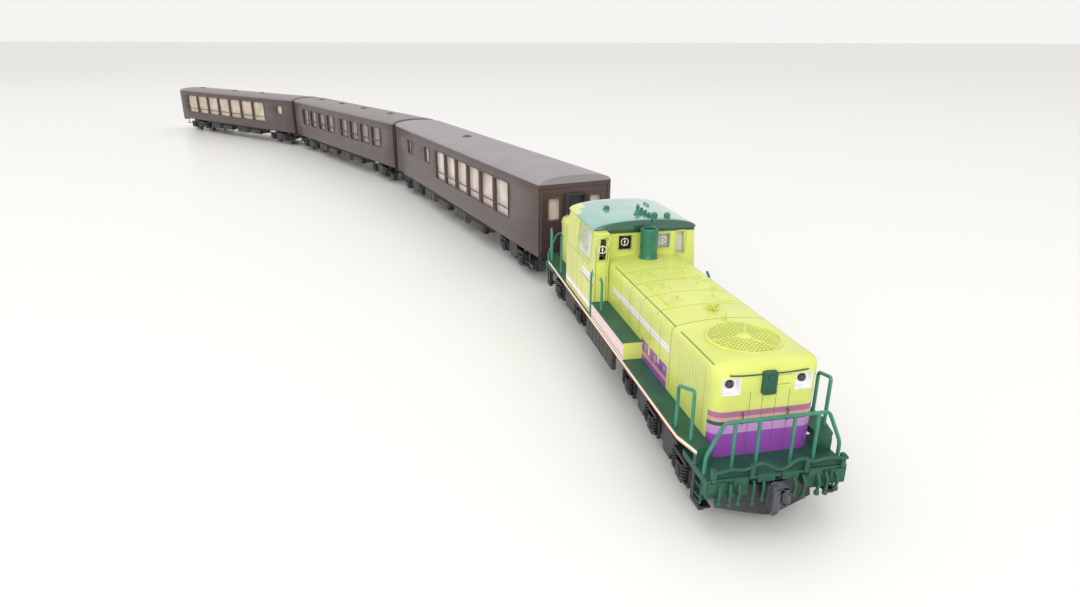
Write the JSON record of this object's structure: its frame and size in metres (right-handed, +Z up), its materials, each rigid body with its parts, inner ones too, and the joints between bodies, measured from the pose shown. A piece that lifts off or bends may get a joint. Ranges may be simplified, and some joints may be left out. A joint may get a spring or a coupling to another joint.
{
  "type": "model train",
  "caption": "N gauge model train on a curve: a five-axle lime and green diesel locomotive with an off-centre cab, and three brown coaches.",
  "frame": {"origin": "under the middle of the locomotive, between the rails, at the lowest point of the wheel flanges", "axes": "+X forward along the locomotive, +Z up, +Y to the locomotive's left; the coaches follow behind on a curve whose centre is on the -Y side"},
  "size_m": [0.4608, 0.185, 0.0282],
  "materials": {
    "lime_body": "moulded ABS, satin lime paint",
    "deck_green": "moulded ABS, dark green",
    "roof_green": "satin green paint",
    "rail_green": "moulded acetal wire, green",
    "black_plastic": "moulded black plastic",
    "grey_plastic": "moulded dark grey plastic",
    "tank_grey": "moulded light grey plastic",
    "lamp_white": "white lamp housing",
    "glazing": "clear styrene",
    "coach_brown": "satin brown paint",
    "coach_roof": "matt grey paint",
    "wheel_steel": "turned and blackened steel",
    "motor_steel": "drawn can",
    "gear_brass": "cut brass",
    "chassis_metal": "die-cast zinc"
  },
  "bodies": {
    "locomotive": {"loco_chassis": "chassis_metal", "running_boards": "deck_green", "long_hood": "lime_body", "short_hood": "lime_body", "cab_shell": "lime_body", "cab_roof": "roof_green", "cab_glazing": "glazing", "exhaust_stack": "roof_green", "headlights": "lamp_white", "handrails": "rail_green", "fuel_tank": "tank_grey", "snow_ploughs": "grey_plastic", "motor_case": "motor_steel"},
    "drive_shaft": {"motor_shaft": "motor_steel", "flywheels": "gear_brass", "worms": "gear_brass"},
    "front_truck": {"front_truck_frame": "black_plastic"},
    "front_gear": {"front_bull_gear": "gear_brass"},
    "front_axle_1": {"front_wheelset_1": "wheel_steel"},
    "front_axle_2": {"front_wheelset_2": "wheel_steel"},
    "front_axle_3": {"front_wheelset_3": "wheel_steel"},
    "rear_truck": {"rear_truck_frame": "black_plastic"},
    "rear_gear": {"rear_bull_gear": "gear_brass"},
    "rear_axle_1": {"rear_wheelset_1": "wheel_steel"},
    "rear_axle_2": {"rear_wheelset_2": "wheel_steel"},
    "front_coupler_arm": {"front_coupler": "grey_plastic"},
    "drawbar_1": {"coupler_pair_1": "grey_plastic"},
    "coach_1": {"coach_1_body": "coach_brown", "coach_1_roof": "coach_roof", "coach_1_glazing": "glazing", "coach_1_floor": "black_plastic"},
    "coach_1_truck_a_body": {"coach_1_truck_a": "black_plastic"},
    "coach_1_axle_1": {"coach_1_wheelset_1": "wheel_steel"},
    "coach_1_axle_2": {"coach_1_wheelset_2": "wheel_steel"},
    "coach_1_truck_b_body": {"coach_1_truck_b": "black_plastic"},
    "coach_1_axle_3": {"coach_1_wheelset_3": "wheel_steel"},
    "coach_1_axle_4": {"coach_1_wheelset_4": "wheel_steel"},
    "drawbar_2": {"coupler_pair_2": "grey_plastic"},
    "coach_2": {"coach_2_body": "coach_brown", "coach_2_roof": "coach_roof", "coach_2_glazing": "glazing", "coach_2_floor": "black_plastic"},
    "coach_2_truck_a_body": {"coach_2_truck_a": "black_plastic"},
    "coach_2_axle_1": {"coach_2_wheelset_1": "wheel_steel"},
    "coach_2_axle_2": {"coach_2_wheelset_2": "wheel_steel"},
    "coach_2_truck_b_body": {"coach_2_truck_b": "black_plastic"},
    "coach_2_axle_3": {"coach_2_wheelset_3": "wheel_steel"},
    "coach_2_axle_4": {"coach_2_wheelset_4": "wheel_steel"},
    "drawbar_3": {"coupler_pair_3": "grey_plastic"},
    "coach_3": {"coach_3_body": "coach_brown", "coach_3_roof": "coach_roof", "coach_3_glazing": "glazing", "coach_3_floor": "black_plastic"},
    "coach_3_truck_a_body": {"coach_3_truck_a": "black_plastic"},
    "coach_3_axle_1": {"coach_3_wheelset_1": "wheel_steel"},
    "coach_3_axle_2": {"coach_3_wheelset_2": "wheel_steel"},
    "coach_3_truck_b_body": {"coach_3_truck_b": "black_plastic"},
    "coach_3_axle_3": {"coach_3_wheelset_3": "wheel_steel"},
    "coach_3_axle_4": {"coach_3_wheelset_4": "wheel_steel"},
    "tail_coupler_arm": {"tail_coupler": "grey_plastic"}
  },
  "joints": [
    {"name": "drive_shaft_spin", "type": "hinge", "parent": "locomotive", "child": "drive_shaft", "pos_m": [0, 0, 0.0137], "axis": [1, 0, 0], "continuous": true},
    {"name": "front_truck_yaw", "type": "hinge", "parent": "locomotive", "child": "front_truck", "pos_m": [0.023, 0, 0.009], "axis": [0, 0, 1], "range_deg": [-3.67, 8.33]},
    {"name": "front_gear_spin", "type": "hinge", "parent": "front_truck", "child": "front_gear", "pos_m": [0.023, 0, 0.00895], "axis": [0.0407, 0.9992, 0], "continuous": true},
    {"name": "front_axle_1_spin", "type": "hinge", "parent": "front_truck", "child": "front_axle_1", "pos_m": [0.03479, -0.00048, 0.0034], "axis": [0.0407, 0.9992, 0], "continuous": true},
    {"name": "front_axle_2_spin", "type": "hinge", "parent": "front_truck", "child": "front_axle_2", "pos_m": [0.023, 0, 0.0034], "axis": [0.0407, 0.9992, 0], "continuous": true},
    {"name": "front_axle_3_spin", "type": "hinge", "parent": "front_truck", "child": "front_axle_3", "pos_m": [0.01121, 0.00048, 0.0034], "axis": [0.0407, 0.9992, 0], "continuous": true},
    {"name": "rear_truck_yaw", "type": "hinge", "parent": "locomotive", "child": "rear_truck", "pos_m": [-0.027, 0, 0.009], "axis": [0, 0, 1], "range_deg": [-8.33, 3.67]},
    {"name": "rear_gear_spin", "type": "hinge", "parent": "rear_truck", "child": "rear_gear", "pos_m": [-0.027, 0, 0.00655], "axis": [-0.0407, 0.9992, 0], "continuous": true},
    {"name": "rear_axle_1_spin", "type": "hinge", "parent": "rear_truck", "child": "rear_axle_1", "pos_m": [-0.01971, 0.0003, 0.0034], "axis": [-0.0407, 0.9992, 0], "continuous": true},
    {"name": "rear_axle_2_spin", "type": "hinge", "parent": "rear_truck", "child": "rear_axle_2", "pos_m": [-0.03429, -0.0003, 0.0034], "axis": [-0.0407, 0.9992, 0], "continuous": true},
    {"name": "front_coupler_swing", "type": "hinge", "parent": "locomotive", "child": "front_coupler_arm", "pos_m": [0.0395, 0, 0.0064], "axis": [0, 0, 1], "range_deg": [-15, 15]},
    {"name": "drawbar_1_swing", "type": "hinge", "parent": "locomotive", "child": "drawbar_1", "pos_m": [-0.0395, 0, 0.0064], "axis": [0, 0, 1], "range_deg": [-20.7, 7.3]},
    {"name": "coach_1_swing", "type": "hinge", "parent": "drawbar_1", "child": "coach_1", "pos_m": [-0.0536, -0.00166, 0.0064], "axis": [0, 0, 1], "range_deg": [-20.7, 7.3]},
    {"name": "coach_1_truck_a_yaw", "type": "hinge", "parent": "coach_1", "child": "coach_1_truck_a_body", "pos_m": [-0.06722, -0.0049, 0.0054], "axis": [0, 0, 1], "range_deg": [-5.62, 14.38]},
    {"name": "coach_1_axle_1_spin", "type": "hinge", "parent": "coach_1_truck_a_body", "child": "coach_1_axle_1", "pos_m": [-0.06031, -0.0038, 0.0034], "axis": [-0.1567, 0.9876, 0], "continuous": true},
    {"name": "coach_1_axle_2_spin", "type": "hinge", "parent": "coach_1_truck_a_body", "child": "coach_1_axle_2", "pos_m": [-0.07414, -0.006, 0.0034], "axis": [-0.1567, 0.9876, 0], "continuous": true},
    {"name": "coach_1_truck_b_yaw", "type": "hinge", "parent": "coach_1", "child": "coach_1_truck_b_body", "pos_m": [-0.15866, -0.02669, 0.0054], "axis": [0, 0, 1], "range_deg": [-14.38, 5.62]},
    {"name": "coach_1_axle_3_spin", "type": "hinge", "parent": "coach_1_truck_b_body", "child": "coach_1_axle_3", "pos_m": [-0.152, -0.02455, 0.0034], "axis": [-0.3054, 0.9522, 0], "continuous": true},
    {"name": "coach_1_axle_4_spin", "type": "hinge", "parent": "coach_1_truck_b_body", "child": "coach_1_axle_4", "pos_m": [-0.16533, -0.02882, 0.0034], "axis": [-0.3054, 0.9522, 0], "continuous": true},
    {"name": "drawbar_2_swing", "type": "hinge", "parent": "coach_1", "child": "drawbar_2", "pos_m": [-0.17228, -0.02993, 0.0064], "axis": [0, 0, 1], "range_deg": [-18.7, 9.3]},
    {"name": "coach_2_swing", "type": "hinge", "parent": "drawbar_2", "child": "coach_2", "pos_m": [-0.18578, -0.03434, 0.0064], "axis": [0, 0, 1], "range_deg": [-18.7, 9.3]},
    {"name": "coach_2_truck_a_yaw", "type": "hinge", "parent": "coach_2", "child": "coach_2_truck_a_body", "pos_m": [-0.19869, -0.03977, 0.0054], "axis": [0, 0, 1], "range_deg": [-5.62, 14.38]},
    {"name": "coach_2_axle_1_spin", "type": "hinge", "parent": "coach_2_truck_a_body", "child": "coach_2_axle_1", "pos_m": [-0.19204, -0.03756, 0.0034], "axis": [-0.3159, 0.9488, 0], "continuous": true},
    {"name": "coach_2_axle_2_spin", "type": "hinge", "parent": "coach_2_truck_a_body", "child": "coach_2_axle_2", "pos_m": [-0.20533, -0.04198, 0.0034], "axis": [-0.3159, 0.9488, 0], "continuous": true},
    {"name": "coach_2_truck_b_yaw", "type": "hinge", "parent": "coach_2", "child": "coach_2_truck_b_body", "pos_m": [-0.28534, -0.07619, 0.0054], "axis": [0, 0, 1], "range_deg": [-14.38, 5.62]},
    {"name": "coach_2_axle_3_spin", "type": "hinge", "parent": "coach_2_truck_b_body", "child": "coach_2_axle_3", "pos_m": [-0.27911, -0.073, 0.0034], "axis": [-0.4568, 0.8896, 0], "continuous": true},
    {"name": "coach_2_axle_4_spin", "type": "hinge", "parent": "coach_2_truck_b_body", "child": "coach_2_axle_4", "pos_m": [-0.29157, -0.07939, 0.0034], "axis": [-0.4568, 0.8896, 0], "continuous": true},
    {"name": "drawbar_3_swing", "type": "hinge", "parent": "coach_2", "child": "drawbar_3", "pos_m": [-0.29825, -0.08162, 0.0064], "axis": [0, 0, 1], "range_deg": [-21.9, 6.1]},
    {"name": "coach_3_swing", "type": "hinge", "parent": "drawbar_3", "child": "coach_3", "pos_m": [-0.31046, -0.08887, 0.0064], "axis": [0, 0, 1], "range_deg": [-21.9, 6.1]},
    {"name": "coach_3_truck_a_yaw", "type": "hinge", "parent": "coach_3", "child": "coach_3_truck_a_body", "pos_m": [-0.3214, -0.0976, 0.0054], "axis": [0, 0, 1], "range_deg": [-5.62, 14.38]},
    {"name": "coach_3_axle_1_spin", "type": "hinge", "parent": "coach_3_truck_a_body", "child": "coach_3_axle_1", "pos_m": [-0.31561, -0.09367, 0.0034], "axis": [-0.5623, 0.8269, 0], "continuous": true},
    {"name": "coach_3_axle_2_spin", "type": "hinge", "parent": "coach_3_truck_a_body", "child": "coach_3_axle_2", "pos_m": [-0.32719, -0.10154, 0.0034], "axis": [-0.5623, 0.8269, 0], "continuous": true},
    {"name": "coach_3_truck_b_yaw", "type": "hinge", "parent": "coach_3", "child": "coach_3_truck_b_body", "pos_m": [-0.39486, -0.15625, 0.0054], "axis": [0, 0, 1], "range_deg": [-14.38, 5.62]},
    {"name": "coach_3_axle_3_spin", "type": "hinge", "parent": "coach_3_truck_b_body", "child": "coach_3_axle_3", "pos_m": [-0.38974, -0.15147, 0.0034], "axis": [-0.6818, 0.7316, 0], "continuous": true},
    {"name": "coach_3_axle_4_spin", "type": "hinge", "parent": "coach_3_truck_b_body", "child": "coach_3_axle_4", "pos_m": [-0.39998, -0.16102, 0.0034], "axis": [-0.6818, 0.7316, 0], "continuous": true},
    {"name": "tail_coupler_swing", "type": "hinge", "parent": "coach_3", "child": "tail_coupler_arm", "pos_m": [-0.4058, -0.16498, 0.0064], "axis": [0, 0, 1], "range_deg": [-15, 15]}
  ],
  "couplings": [
    {"joint": "front_gear_spin", "follows": "drive_shaft_spin", "ratio": 0.043478},
    {"joint": "rear_gear_spin", "follows": "drive_shaft_spin", "ratio": 0.025641},
    {"joint": "front_axle_2_spin", "follows": "drive_shaft_spin", "ratio": -0.071429},
    {"joint": "rear_axle_1_spin", "follows": "drive_shaft_spin", "ratio": -0.071429},
    {"joint": "rear_axle_2_spin", "follows": "drive_shaft_spin", "ratio": -0.071429}
  ]
}
